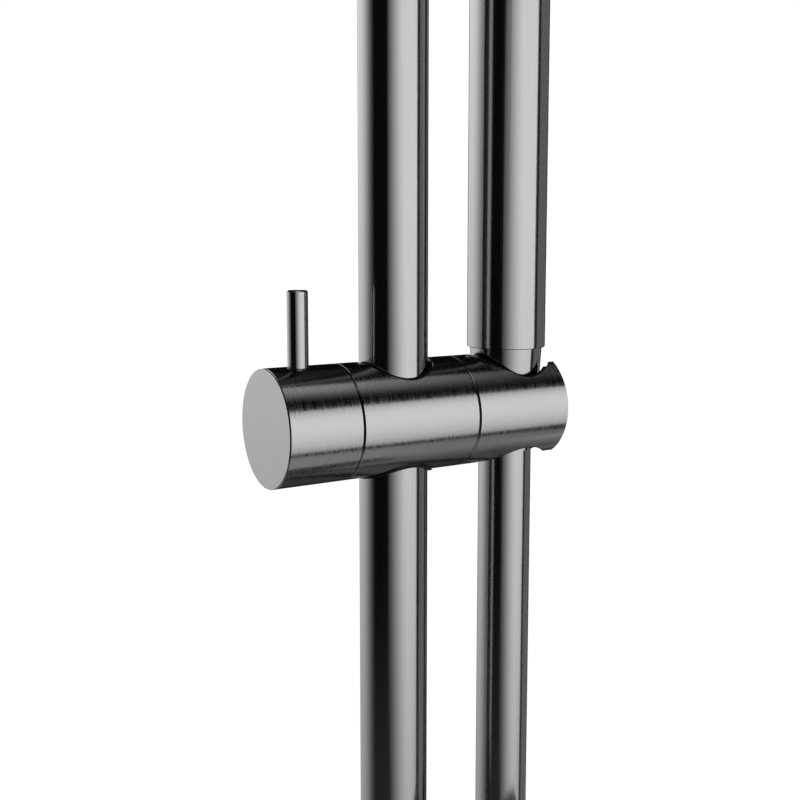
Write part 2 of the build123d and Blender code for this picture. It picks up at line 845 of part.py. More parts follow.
os.makedirs("parts", exist_ok=True)
for name, piece in pieces.items():
    export_step(piece, "parts/" + name + ".step")
print("pieces", len(pieces), "knob lead in metres per radian", thread_pitch / 1000 / (2 * pi))
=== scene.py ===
# %% [markdown]
# A shower slide rail, dressed for its picture.
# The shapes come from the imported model, in metres: +X runs from the lever knob to the handset's
# holder, +Y points into the wall and +Z is up. This lesson adds what the model leaves out: the hose
# as one flexible tube, the thread of its wall nut, the nozzles of the spray face, the finish of every
# surface, a studio and a camera.

import json
import math

import bmesh
import bpy
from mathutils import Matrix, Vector


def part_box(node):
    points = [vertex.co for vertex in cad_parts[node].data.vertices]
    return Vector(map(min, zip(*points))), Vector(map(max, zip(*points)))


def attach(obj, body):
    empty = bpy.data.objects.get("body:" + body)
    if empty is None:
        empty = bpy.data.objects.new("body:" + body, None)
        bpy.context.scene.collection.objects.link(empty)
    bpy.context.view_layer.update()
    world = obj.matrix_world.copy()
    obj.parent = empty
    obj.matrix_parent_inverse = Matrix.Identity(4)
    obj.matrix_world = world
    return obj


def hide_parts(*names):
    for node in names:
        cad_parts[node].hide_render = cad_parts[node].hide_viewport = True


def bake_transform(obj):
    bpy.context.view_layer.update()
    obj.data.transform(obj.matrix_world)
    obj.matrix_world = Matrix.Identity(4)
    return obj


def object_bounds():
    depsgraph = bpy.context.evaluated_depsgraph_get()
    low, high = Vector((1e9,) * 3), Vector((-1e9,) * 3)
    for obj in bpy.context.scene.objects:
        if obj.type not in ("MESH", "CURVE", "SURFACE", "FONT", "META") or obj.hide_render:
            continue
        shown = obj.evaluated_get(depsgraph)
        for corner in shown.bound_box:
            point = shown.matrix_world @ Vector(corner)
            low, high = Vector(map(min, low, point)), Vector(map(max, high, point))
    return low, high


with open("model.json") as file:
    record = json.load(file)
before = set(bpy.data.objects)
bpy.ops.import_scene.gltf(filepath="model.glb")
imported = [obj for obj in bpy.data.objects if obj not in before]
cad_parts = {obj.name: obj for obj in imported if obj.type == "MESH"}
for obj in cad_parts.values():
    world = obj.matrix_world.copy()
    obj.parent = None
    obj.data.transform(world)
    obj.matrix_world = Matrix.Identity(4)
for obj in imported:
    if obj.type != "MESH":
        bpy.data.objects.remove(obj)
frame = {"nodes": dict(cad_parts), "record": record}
cad_box = [list(corner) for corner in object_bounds()]
nodes = frame["nodes"]
MM = 0.001
print("pieces in the frame", len(nodes), "box", cad_box)

# %% [markdown]
# The camera looks slightly down at the slider from the left. A longer look at where parallel edges run
# gave its place, its turn and its lens. It is tipped a little, so that only a small lens shift is
# needed to frame the slider, and the other views keep the whole rail in the picture.

# %% Camera
CAMERA_PLACE = Vector((-145.9, -309.94, 160.79)) * MM
CAMERA_TURN = 30.66
CAMERA_TIP = 6.3
CAMERA_LENS = 45.29
CAMERA_SENSOR = 36
CAMERA_SHIFT = -0.0602
NEAREST_SEEN = 10 * MM


def add_object(name, data):
    thing = bpy.data.objects.new(name, data)
    bpy.context.scene.collection.objects.link(thing)
    return thing


def make_camera():
    data = bpy.data.cameras.new("camera")
    data.lens = CAMERA_LENS
    data.sensor_width = CAMERA_SENSOR
    data.shift_y = CAMERA_SHIFT
    data.clip_start = NEAREST_SEEN
    camera = add_object("camera", data)
    camera.location = CAMERA_PLACE
    camera.rotation_euler = (math.radians(90 - CAMERA_TIP), 0, -math.radians(CAMERA_TURN))
    bpy.context.scene.camera = camera
    return camera


camera = make_camera()
print("camera at", [round(v, 4) for v in camera.location], "lens", CAMERA_LENS)

# %% [markdown]
# The hose leaves the conical nut under the handset, hangs straight down, and its unseen length is put
# away as a hank in front of the rail: two and a half long turns, side by side in three layers, with
# the wall end hanging free. A real hose is a fixed length of one tube, so its line is one smooth
# spline, and the tube is skinned round points read back from that spline.

# %% Measures of the hose
RAIL_Y = -60 * MM
RAIL_R = 10 * MM
SLIDER_Z = 110 * MM
SEAT_X = 40.3 * MM
HOSE_D = 16.3 * MM
HOSE_R = HOSE_D / 2
HOSE_START = SLIDER_Z - 0.1 * MM
UPPER_DROP = SLIDER_Z - 60 * MM
LOWER_DROP = SLIDER_Z - 110 * MM
DROP_BEND = SLIDER_Z - 165 * MM
SLANT_END = SLIDER_Z - 268 * MM

TURN_R = 3 * HOSE_D
RIGHT_X = SEAT_X + TURN_R
LEFT_X = SEAT_X - TURN_R
LOW_BEND = SLIDER_Z - 340 * MM
HIGH_BEND = LOW_BEND + 137 * MM
HANK_CLEAR = 4 * MM
LAYER_PITCH = HOSE_D + 0.2 * MM
FIRST_LAYER_Y = RAIL_Y - RAIL_R - HANK_CLEAR - HOSE_R

TAIL_BEND = SLIDER_Z - 262 * MM
TAIL_OUT = SLIDER_Z - 305 * MM
TAIL_SHIFT = 11 * MM
TAIL_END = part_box("hose_tail")[0][2]
TAIL_Y = FIRST_LAYER_Y - 2 * LAYER_PITCH - TAIL_SHIFT
print("hank from x", round(LEFT_X, 4), "to", round(RIGHT_X, 4), "tail at y", round(TAIL_Y, 4))

# %% Turns and straight runs
ARC_STEP = 30
ARC_LEAD = TURN_R * math.tan(math.radians(ARC_STEP / 2))
CROSSING_FROM = 0.2
CROSSING_SHARE = 0.6


def layer_y(layer):
    return FIRST_LAYER_Y - layer * LAYER_PITCH


def arc_points(height, start, end, layer_start, layer_end):
    """Control points of one half turn; the layer changes evenly along its middle."""
    count = round(abs(end - start) / ARC_STEP)
    step = (end - start) / count
    out = TURN_R / math.cos(math.radians(step / 2))
    points = []
    for i in range(count):
        share = (i + 0.5) / count
        angle = math.radians(start + step * (i + 0.5))
        blend = min(max((share - CROSSING_FROM) / CROSSING_SHARE, 0), 1)
        layer = layer_start + (layer_end - layer_start) * blend
        points.append((SEAT_X + out * math.cos(angle), layer_y(layer), height + out * math.sin(angle)))
    return points


def run_points(x, y, start, end):
    """Control points near both ends of a straight upright run, and at its middle."""
    lead = math.copysign(ARC_LEAD, end - start)
    return [(x, y, start + lead), (x, y, (start + end) / 2), (x, y, end - lead)]


print("control points of a half turn", len(arc_points(LOW_BEND, 0, -180, 0, 0)))

# %% Route of the hose


def hose_route():
    points = [(SEAT_X, RAIL_Y, z) for z in (HOSE_START, UPPER_DROP, LOWER_DROP, DROP_BEND)]
    points += [(RIGHT_X, layer_y(0), z)
               for z in (SLANT_END, (SLANT_END + LOW_BEND) / 2, LOW_BEND + ARC_LEAD)]
    for turn in (0, 1):
        points += arc_points(LOW_BEND, 0, -180, turn, turn)
        points += run_points(LEFT_X, layer_y(turn), LOW_BEND, HIGH_BEND)
        points += arc_points(HIGH_BEND, 180, 0, turn, turn + 1)
        if turn == 0:
            points += run_points(RIGHT_X, layer_y(1), HIGH_BEND, LOW_BEND)
    points += [(RIGHT_X, layer_y(2), z) for z in (HIGH_BEND - ARC_LEAD, TAIL_BEND)]
    points += [(RIGHT_X, TAIL_Y, z) for z in (TAIL_OUT, TAIL_END)]
    return points


route = hose_route()
print("control points of the hose", len(route))

# %% [markdown]
# A NURBS curve without any bevel gives its bare line as a mesh, so new_from_object hands back evenly
# spread points. Round each of them a ring of vertices is placed at right angles to the line. The ring
# is carried along without twisting, so the skin has no kink, and its UV map runs straight along it.

# %% One line for the hose
HOSE_RESOLUTION = 14
HOSE_ORDER = 3


def evaluated_mesh(thing):
    graph = bpy.context.evaluated_depsgraph_get()
    return bpy.data.meshes.new_from_object(thing.evaluated_get(graph))


def spline_line(name, points):
    """Points read back from one smooth spline through these control points."""
    data = bpy.data.curves.new(name, "CURVE")
    data.dimensions = "3D"
    data.resolution_u = HOSE_RESOLUTION
    spline = data.splines.new("NURBS")
    spline.points.add(len(points) - 1)
    for point, place in zip(spline.points, points):
        point.co = (*place, 1)
    spline.order_u = HOSE_ORDER
    spline.use_endpoint_u = True
    curve = add_object(name, data)
    line = evaluated_mesh(curve)
    places = [vertex.co.copy() for vertex in line.vertices]
    bpy.data.meshes.remove(line)
    bpy.data.objects.remove(curve)
    return places


hose_line = spline_line("hose_line", route)
hose_length = sum((b - a).length for a, b in zip(hose_line, hose_line[1:]))
print("points on the line", len(hose_line), "length in metres", round(hose_length, 4))

# %% Helpers for rings of vertices


def add_ring(work, count, place_at):
    """One closed ring; place_at gives the place for an angle."""
    return [work.verts.new(place_at(2 * math.pi * k / count)) for k in range(count)]


def join_rows(work, low, high, smooth=True):
    """Faces between two rows of as many vertices."""
    faces = []
    for k in range(len(low) - 1):
        face = work.faces.new((low[k], low[k + 1], high[k + 1], high[k]))
        face.smooth = smooth
        faces.append(face)
    return faces


def join_rings(work, low, high, smooth=True):
    return join_rows(work, low + low[:1], high + high[:1], smooth)


def store_mesh(work, name):
    """Turns every face outwards and keeps the working mesh under a name."""
    bmesh.ops.recalc_face_normals(work, faces=work.faces)
    mesh = bpy.data.meshes.new(name)
    work.to_mesh(mesh)
    work.free()
    return mesh


print("ring helpers ready")

# %% Skin the line
HOSE_SIDES = 40


def skin_tube(name, places, radius):
    """Closed tube round a line, with a UV map: U round it, V along it in metres."""
    work = bmesh.new()
    last = len(places) - 1
    side = Vector((1, 0, 0))
    rings = []
    for i, place in enumerate(places):
        tangent = (places[min(i + 1, last)] - places[max(i - 1, 0)]).normalized()
        side = (side - tangent * side.dot(tangent)).normalized()
        other = tangent.cross(side)
        rings.append(add_ring(work, HOSE_SIDES, lambda angle: place + radius * (
            side * math.cos(angle) + other * math.sin(angle))))
    along = [0.0]
    for a, b in zip(places, places[1:]):
        along.append(along[-1] + (b - a).length)
    uv = work.loops.layers.uv.new("around")
    for i, (low, high) in enumerate(zip(rings, rings[1:])):
        for k, face in enumerate(join_rings(work, low, high)):
            corners = ((k, i), (k + 1, i), (k + 1, i + 1), (k, i + 1))
            for loop, (u, v) in zip(face.loops, corners):
                loop[uv].uv = (u / HOSE_SIDES, along[v])
    work.faces.new(list(reversed(rings[0])))
    work.faces.new(rings[-1])
    return add_object(name, store_mesh(work, name))


hose = skin_tube("shower_hose", hose_line, HOSE_R)
print("faces on the hose", len(hose.data.polygons))

# %% [markdown]
# The wall end of the hose has a hexagon nut with a half-inch pipe thread. The model keeps it a plain
# prism with a plain bore. Here each ring of vertices takes the hexagon's outline, cut back near both
# ends by the cone that a lathe leaves on such nuts, and the bore's rings follow one helix.

# %% Outline of the nut at the wall end
NUT_FLAT = 12 * MM
NUT_LENGTH = 16.05 * MM
NUT_CONE_FROM = 11.8 * MM
NUT_CONE_SLOPE = math.tan(math.radians(60))
THREAD_PITCH = 1.814 * MM
THREAD_CREST = 9.32 * MM
THREAD_DEPTH = 1.1 * MM
THREAD_LENGTH = 7.4 * MM
THREAD_RUN_OUT = THREAD_PITCH / 2


def outside_radius(angle, height):
    """Hexagon, cut back near both ends by a cone."""
    hexagon = NUT_FLAT / math.cos(angle % (math.pi / 3) - math.pi / 6)
    return min(hexagon, NUT_CONE_FROM + NUT_CONE_SLOPE * min(height, NUT_LENGTH - height))


def thread_radius(angle, height):
    """Triangular groove that climbs one pitch a turn and runs out at both ends of the thread."""
    share = (height / THREAD_PITCH - angle / (2 * math.pi)) % 1.0
    groove = 1 - abs(2 * share - 1)
    lead_in = max(1 - height / THREAD_RUN_OUT, 0)
    run_out = min((THREAD_LENGTH - height) / THREAD_RUN_OUT, 1)
    return THREAD_CREST + THREAD_DEPTH * max(groove * run_out, lead_in)


print("turns of the thread", round(THREAD_LENGTH / THREAD_PITCH, 2))

# %% Nut at the wall end
NUT_SIDES = 72
NUT_PLACE = (RIGHT_X, TAIL_Y, SLIDER_Z - 352 * MM)
NUT_MIDDLE = 8 * MM
CONE_RINGS = 4
CONE_STEP = 0.4 * MM
THREAD_RINGS = 33
HOSE_BORE = 8.25 * MM
LIP_BORE = 6.1 * MM
LIP_TOP = 13.05 * MM
LIP_BOTTOM = 11.05 * MM
WASHER_BORE = 9.7 * MM
WASHER_BOTTOM = 7.6 * MM


def plain(radius):
    return lambda angle, height: radius


def polar(radius, angle, height, middle=(0, 0, 0)):
    """Place at a radius and an angle round an upright axis."""
    x, y, z = middle
    return (x + radius * math.cos(angle), y + radius * math.sin(angle), z + height)


def join_closed(work, rings, first_smooth=0):
    """Joins each ring to the next and the last to the first; the first few joints may be flat."""
    for i, (low, high) in enumerate(zip(rings, rings[1:] + rings[:1])):
        join_rings(work, low, high, i >= first_smooth)


def end_nut_mesh():
    cone = [k * CONE_STEP for k in range(CONE_RINGS)]
    outside = cone + [NUT_MIDDLE] + [NUT_LENGTH - height for height in reversed(cone)]
    profile = [(outside_radius, height) for height in outside]
    profile += [(plain(HOSE_BORE), NUT_LENGTH), (plain(HOSE_BORE), LIP_TOP), (plain(LIP_BORE), LIP_TOP),
                (plain(LIP_BORE), LIP_BOTTOM), (plain(WASHER_BORE), LIP_BOTTOM),
                (plain(WASHER_BORE), WASHER_BOTTOM)]
    profile += [(thread_radius, THREAD_LENGTH * (1 - k / (THREAD_RINGS - 1))) for k in range(THREAD_RINGS)]
    work = bmesh.new()
    rings = [add_ring(work, NUT_SIDES, lambda angle: polar(
        radius_at(angle, height), angle, height, NUT_PLACE)) for radius_at, height in profile]
    join_closed(work, rings, first_smooth=len(outside) + 1)
    return store_mesh(work, "end_nut_threaded")


threaded_nut = add_object("end_nut_threaded", end_nut_mesh())
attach(threaded_nut, "slider")
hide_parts("end_nut")
print("faces of the nut", len(threaded_nut.data.polygons))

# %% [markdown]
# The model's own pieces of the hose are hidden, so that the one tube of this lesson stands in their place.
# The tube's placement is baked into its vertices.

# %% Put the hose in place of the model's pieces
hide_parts("hose_neck", "hose_drop", "hose_hank", "hose_tail")
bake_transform(hose)

# %% [markdown]
# The nodes of a world, a material and a geometry tree are all made in the same way: a node, its
# settings, and for each input a constant or the output of another node. These helpers say that in one
# line each, so the cells below read like the arithmetic that they stand for.

# %% Node helpers


def feed(tree, socket, value):
    """Gives an input the output of another node, or a constant."""
    if isinstance(value, bpy.types.NodeSocket):
        tree.links.new(value, socket)
    elif value is not None:
        socket.default_value = value


def add_node(tree, kind, inputs, **settings):
    """New node; inputs holds constants or outputs, by an input's name or number."""
    node = tree.nodes.new(kind)
    for name, value in settings.items():
        setattr(node, name, value)
    for name, value in inputs.items():
        feed(tree, node.inputs[name], value)
    return node


def add_math(tree, operation, a, b=None, clamp=False):
    return add_node(tree, "ShaderNodeMath", {0: a, 1: b}, operation=operation, use_clamp=clamp).outputs[0]


def times(tree, *factors):
    """Product of any number of values."""
    total = factors[0]
    for factor in factors[1:]:
        total = add_math(tree, "MULTIPLY", total, factor)
    return total


def linear(tree, value, slope, start):
    return add_math(tree, "ADD", times(tree, value, slope), start)


print("node helpers ready")

# %% Vector helpers


def add_vector(tree, operation, *values):
    return add_node(tree, "ShaderNodeVectorMath", dict(enumerate(values)), operation=operation).outputs[0]


def add_dot(tree, a, b):
    return add_node(tree, "ShaderNodeVectorMath", {0: a, 1: b}, operation="DOT_PRODUCT").outputs["Value"]


def add_scaled(tree, vector, factor):
    inputs = {0: vector, "Scale": factor}
    return add_node(tree, "ShaderNodeVectorMath", inputs, operation="SCALE").outputs[0]


def join_xyz(tree, x, y, z):
    return add_node(tree, "ShaderNodeCombineXYZ", {0: x, 1: y, 2: z}).outputs[0]


print("vector helpers ready")

# %% Ranges and groups


def add_range(tree, value, low, high, to_low=0.0, to_high=1.0, kind="SMOOTHSTEP"):
    """Runs from one level to another while the value runs from low to high, and stays there."""
    inputs = {"Value": value, "From Min": low, "From Max": high, "To Min": to_low, "To Max": to_high}
    return add_node(tree, "ShaderNodeMapRange", inputs, interpolation_type=kind, clamp=True).outputs[0]


def between(tree, value, low, high, soft):
    """1 between two limits and 0 outside them, with soft edges."""
    rise = add_range(tree, value, low - soft, low + soft)
    return times(tree, rise, add_range(tree, value, high - soft, high + soft, 1.0, 0.0))


def past(tree, value, start):
    """How far a value is past a start, and 0 before it."""
    return add_math(tree, "MAXIMUM", add_math(tree, "SUBTRACT", value, start), 0.0)


def new_group(name, kind, inputs, outputs):
    """Node group with named inputs and outputs, each given with its kind, and its two end nodes."""
    tree = bpy.data.node_groups.new(name, kind)
    for side, sockets in (("INPUT", inputs), ("OUTPUT", outputs)):
        for label, socket_kind in sockets.items():
            tree.interface.new_socket(name=label, in_out=side, socket_type="NodeSocket" + socket_kind)
    return tree, tree.nodes.new("NodeGroupInput"), tree.nodes.new("NodeGroupOutput")


print("range and group helpers ready")

# %% [markdown]
# Metal only looks like metal when it has something to mirror. The studio is painted on the world by
# direction: a large soft panel to the front right that fades to its left, a second one behind the left,
# dim ones to the right and overhead, a grey floor, and black cloth between them. Rays from the camera
# see plain white, and diffuse surfaces are lit by an even dome, so the parts that aren't metal look as
# they would in daylight.

# %% Front panel
FRONT_LEAN = math.radians(8)
FRONT_NEAREST = 0.05
FRONT_LEFT = -1.43
FRONT_RIGHT = 1.043
FRONT_RIGHT_SLANT = 0.03
FRONT_BOTTOM = -0.86
FRONT_TOP = 0.725
FRONT_SOFT = 0.02
RAMP_START = -59
RAMP_WIDTH = 72.4
RAMP_NARROWS = -0.425
HIGH_FADE_FROM = 0.22
HIGH_FADE_WIDTH = 0.69
LOW_FADE_FROM = 0.05
LOW_FADE_SLOPE = 0.22
LOW_FADE_CURVE = 0.46


def front_panel(tree, x, y, z, turn, height):
    """Large flat panel, seen in perspective; returns its light and the height on its plane."""
    sine, cosine = math.sin(FRONT_LEAN), math.cos(FRONT_LEAN)
    depth = add_math(tree, "SUBTRACT", times(tree, x, sine), times(tree, y, cosine))
    depth = add_math(tree, "MAXIMUM", depth, FRONT_NEAREST)
    across = add_math(tree, "ADD", times(tree, x, cosine), times(tree, y, sine))
    u = add_math(tree, "DIVIDE", across, depth)
    v = add_math(tree, "DIVIDE", z, depth)
    right = add_math(tree, "SUBTRACT", u, linear(tree, v, FRONT_RIGHT_SLANT, FRONT_RIGHT))
    inside = times(tree, add_range(tree, u, FRONT_LEFT - FRONT_SOFT, FRONT_LEFT + FRONT_SOFT),
                   add_range(tree, right, -FRONT_SOFT, FRONT_SOFT, 1.0, 0.0),
                   between(tree, v, FRONT_BOTTOM, FRONT_TOP, FRONT_SOFT))
    from_start = add_math(tree, "SUBTRACT", turn, RAMP_START)
    width = linear(tree, height, RAMP_NARROWS, RAMP_WIDTH)
    ramp = add_range(tree, add_math(tree, "DIVIDE", from_start, width), 0.0, 1.0)
    high = add_math(tree, "DIVIDE", past(tree, v, HIGH_FADE_FROM), HIGH_FADE_WIDTH)
    low = past(tree, times(tree, v, -1.0), -LOW_FADE_FROM)
    low_fade = times(tree, low, linear(tree, low, LOW_FADE_CURVE, LOW_FADE_SLOPE))
    fade = add_math(tree, "ADD", times(tree, high, high), low_fade)
    return times(tree, inside, ramp, add_math(tree, "SUBTRACT", 1.0, fade, clamp=True)), v


print("front panel spans", round(math.degrees(math.atan(FRONT_TOP) - math.atan(FRONT_BOTTOM))), "degrees")

# %% Panels behind and to the right
TURN_SOFT = 1.5
REAR_LEFT, REAR_RIGHT = -87, 14.5
REAR_BOTTOM, REAR_TOP, REAR_SOFT = -42, 21, 4.0
REAR_FULL_FROM = -18
REAR_LEVEL = 0.88
REAR_RISE = 0.0135
SIDE_LEFT, SIDE_RIGHT = 66.5, 118
SIDE_BOTTOM, SIDE_TOP, SIDE_SOFT = -50, 45, 3.0
SIDE_LEVEL = 0.16


def rear_panel(tree, turn, height):
    """Panel behind the left shoulder, brighter towards its top and its right edge."""
    inside = times(tree, between(tree, turn, REAR_LEFT, REAR_RIGHT, TURN_SOFT),
                   between(tree, height, REAR_BOTTOM, REAR_TOP, REAR_SOFT))
    return times(tree, inside, add_range(tree, turn, REAR_LEFT, REAR_FULL_FROM),
                 linear(tree, height, REAR_RISE, REAR_LEVEL))


def side_panel(tree, turn, height):
    return times(tree, between(tree, turn, SIDE_LEFT, SIDE_RIGHT, TURN_SOFT),
                 between(tree, height, SIDE_BOTTOM, SIDE_TOP, SIDE_SOFT), SIDE_LEVEL)


print("rear panel", REAR_RIGHT - REAR_LEFT, "degrees wide, side panel", SIDE_RIGHT - SIDE_LEFT)

# %% Overhead panel and floor light
OVERHEAD_LEVEL = 0.36
OVERHEAD_FROM = (38, 42)
OVERHEAD_RISE = (-0.54, -0.08)
OVERHEAD_FALLS = ((0.0, 0.06), (0.1, 0.36))
OVERHEAD_RIGHT, OVERHEAD_RIGHT_DIM = (0.44, 0.64), 0.05
FLOOR_LIGHT_LEVEL = 0.275
FLOOR_LIGHT_BELOW = (-42, -38)
FLOOR_LIGHT_PLANE = (-1.16, -1.04)
FLOOR_LIGHT_NEAR, FLOOR_LIGHT_NEAR_DIM = (-0.3, 0.05), 0.5
FLOOR_LIGHT_FAR = (0.02, 0.16)
FLOOR_LIGHT_RIGHT, FLOOR_LIGHT_RIGHT_DIM = (0.42, 0.6), 0.68
FAR_DIM = 0.2


def overhead_panel(tree, x, y, height):
    """Strip above, dimmer in steps towards the wall and to the right."""
    steps = [add_range(tree, y, *fall, 1.0, FAR_DIM) for fall in OVERHEAD_FALLS]
    return times(tree, add_range(tree, y, *OVERHEAD_RISE), *steps,
                 add_range(tree, x, *OVERHEAD_RIGHT, 1.0, OVERHEAD_RIGHT_DIM, "LINEAR"),
                 add_range(tree, height, *OVERHEAD_FROM), OVERHEAD_LEVEL)


def floor_light(tree, x, y, v, height):
    """Pale floor below the front panel, dimmer towards the wall and to the right."""
    return times(tree, add_range(tree, y, *FLOOR_LIGHT_NEAR, 1.0, FLOOR_LIGHT_NEAR_DIM),
                 add_range(tree, y, *FLOOR_LIGHT_FAR, 1.0, FAR_DIM),
                 add_range(tree, x, *FLOOR_LIGHT_RIGHT, 1.0, FLOOR_LIGHT_RIGHT_DIM, "LINEAR"),
                 add_range(tree, v, *FLOOR_LIGHT_PLANE, 1.0, 0.0),
                 add_range(tree, height, *FLOOR_LIGHT_BELOW, 1.0, 0.0), FLOOR_LIGHT_LEVEL)


print("overhead panel from", OVERHEAD_FROM, "degrees up, floor light below", FLOOR_LIGHT_BELOW)

# %% Light that the metal mirrors
PANEL_LEVEL = 1.93
CLOTH_LEVEL = 0.0035
CLOTH_LOW_LEVEL = 0.026
CLOTH_LOW_UPTO = (-32, -17)


def add_degrees(tree, operation, a, b=None):
    return times(tree, add_math(tree, operation, a, b), 180 / math.pi)


def mirrored_light(tree):
    """Sum of the panels, the floor light and what the black cloth gives back."""
    place = add_node(tree, "ShaderNodeTexCoord", {})
    x, y, z = add_node(tree, "ShaderNodeSeparateXYZ", {0: place.outputs["Generated"]}).outputs
    front_turn = add_degrees(tree, "ARCTAN2", x, times(tree, y, -1.0))
    rear_turn = add_degrees(tree, "ARCTAN2", x, y)
    height = add_degrees(tree, "ARCSINE", z)
    total, v = front_panel(tree, x, y, z, front_turn, height)
    for light in (rear_panel(tree, rear_turn, height), side_panel(tree, front_turn, height),
                  overhead_panel(tree, x, y, height), floor_light(tree, x, y, v, height),
                  add_range(tree, height, *CLOTH_LOW_UPTO, CLOTH_LOW_LEVEL, CLOTH_LEVEL)):
        total = add_math(tree, "ADD", total, light)
    return times(tree, total, PANEL_LEVEL)


print("brightest panel", PANEL_LEVEL, "black cloth", PANEL_LEVEL * CLOTH_LEVEL)

# %% Studio
WHITE = (1, 1, 1, 1)
DOME_LEVEL = 0.9


def background(tree, level):
    return add_node(tree, "ShaderNodeBackground", {"Color": WHITE, "Strength": level}).outputs[0]


def mix_shaders(tree, share, first, second):
    return add_node(tree, "ShaderNodeMixShader", {0: share, 1: first, 2: second}).outputs[0]


def build_studio():
    world = bpy.data.worlds.new("studio")
    bpy.context.scene.world = world
    world.use_nodes = True
    world.cycles.sampling_method = "NONE"
    tree = world.node_tree
    tree.nodes.clear()
    ray = add_node(tree, "ShaderNodeLightPath", {})
    mirrored = mix_shaders(tree, ray.outputs["Is Glossy Ray"], background(tree, DOME_LEVEL),
                           background(tree, mirrored_light(tree)))
    seen = mix_shaders(tree, ray.outputs["Is Camera Ray"], mirrored, background(tree, 1.0))
    add_node(tree, "ShaderNodeOutputWorld", {0: seen})
    return world


studio = build_studio()
bpy.context.scene.view_settings.view_transform = "Standard"
print("studio nodes", len(studio.node_tree.nodes))

# %% [markdown]
# The floor is a wide pale sheet below the rail. To the camera it glows just enough to reach white where
# nothing shades it, so a soft shadow still shows. Mirrored rays pass through it to the studio.

# %% Floor
FLOOR_DROP = 45 * MM
FLOOR_HALF = 30.0
FLOOR_GREY = 0.8
FLOOR_LIFT = 0.02


def pale_floor():
    material = bpy.data.materials.new("pale_floor")
    material.use_nodes = True
    tree = material.node_tree
    tree.nodes.clear()
    ray = add_node(tree, "ShaderNodeLightPath", {})
    lift = times(tree, ray.outputs["Is Camera Ray"], 1 - FLOOR_GREY * DOME_LEVEL + FLOOR_LIFT)
    paint = add_node(tree, "ShaderNodeBsdfDiffuse", {"Color": (FLOOR_GREY, FLOOR_GREY, FLOOR_GREY, 1)})
    glow = add_node(tree, "ShaderNodeEmission", {"Strength": lift})
    both = add_node(tree, "ShaderNodeAddShader", {0: paint.outputs[0], 1: glow.outputs[0]})
    clear = add_node(tree, "ShaderNodeBsdfTransparent", {})
    surface = mix_shaders(tree, ray.outputs["Is Glossy Ray"], both.outputs[0], clear.outputs[0])
    add_node(tree, "ShaderNodeOutputMaterial", {0: surface})
    return material


def make_floor():
    level = cad_box[0][2] - FLOOR_DROP
    corners = [(x * FLOOR_HALF, y * FLOOR_HALF, level) for x, y in ((-1, -1), (1, -1), (1, 1), (-1, 1))]
    mesh = bpy.data.meshes.new("floor")
    mesh.from_pydata(corners, [], [(0, 1, 2, 3)])
    mesh.materials.append(pale_floor())
    floor = add_object("floor", mesh)
    return floor


floor = make_floor()
print("floor at", round(floor.data.vertices[0].co.z, 4))

# %% [markdown]
# Brushing leaves fine scratches that run one way. Seen closely they are lines of slightly different
# gloss and height, long in one direction and hair-thin across it. One shader group makes them from a
# stretched noise; each metal gives it its own stretch, so the slider is brushed round its cylinder and
# the tubes along their length.

# %% Brushing group
NOISE_LOW, NOISE_HIGH = 0.3, 0.7


def noise_swing(tree, noise, low, high):
    """Stretches the part of a noise that is really used to run from low to high."""
    return add_range(tree, noise.outputs["Fac"], NOISE_LOW, NOISE_HIGH, low, high, "LINEAR")


def build_brushing():
    tree, given, result = new_group(
        "brushing", "ShaderNodeTree",
        {"Place": "Vector", "Stretch": "Vector", "Roughness": "Float", "Spread": "Float", "Color": "Color",
         "Tint": "Float"},
        {"Color": "Color", "Roughness": "Float", "Height": "Float"})
    stretched = add_vector(tree, "MULTIPLY", given.outputs["Place"], given.outputs["Stretch"])
    noise = add_node(tree, "ShaderNodeTexNoise", {
        "Vector": stretched, "Scale": 1.0, "Detail": 3.0, "Roughness": 0.65})
    lines = noise_swing(tree, noise, -1.0, 1.0)
    change = times(tree, lines, given.outputs["Spread"])
    shade = linear(tree, lines, given.outputs["Tint"], 1.0)
    feed(tree, result.inputs["Color"], add_scaled(tree, given.outputs["Color"], shade))
    feed(tree, result.inputs["Roughness"], add_math(tree, "ADD", given.outputs["Roughness"], change))
    feed(tree, result.inputs["Height"], noise.outputs["Fac"])
    return tree


brushing = build_brushing()
print("brushing group inputs", [s.name for s in brushing.interface.items_tree if s.in_out == "INPUT"])

# %% [markdown]
# The slider is finished on a lathe, so its surface isn't even along its axis: narrow bands lean slightly
# to one side or the other, and the edges of every mirrored panel come out as a fine comb. A group tilts
# the normal round the axis by an amount that changes only along the axis. It also breaks each turned
# edge with a narrow flat: where the model's edge is rounded, the normal stands at one steep angle. A
# turned edge is known by its normal, which has no part that runs round the axis; the rims of the bores
# have one. At the ends that face the knob's side the break is wider, and beyond the rounding it leans
# further, so a thin light line follows the dark one wherever the surface beside it is dark.

# %% Where the turned edges are
EDGE_STEEP = 0.12
FACE_STEEP = 0.99
EDGE_ASIDE = 0.12
END_SLACK = 0.05 * MM


def to_world(tree, value):
    settings = {"vector_type": "VECTOR", "convert_from": "OBJECT", "convert_to": "WORLD"}
    return add_node(tree, "ShaderNodeVectorTransform", {0: value}, **settings).outputs[0]


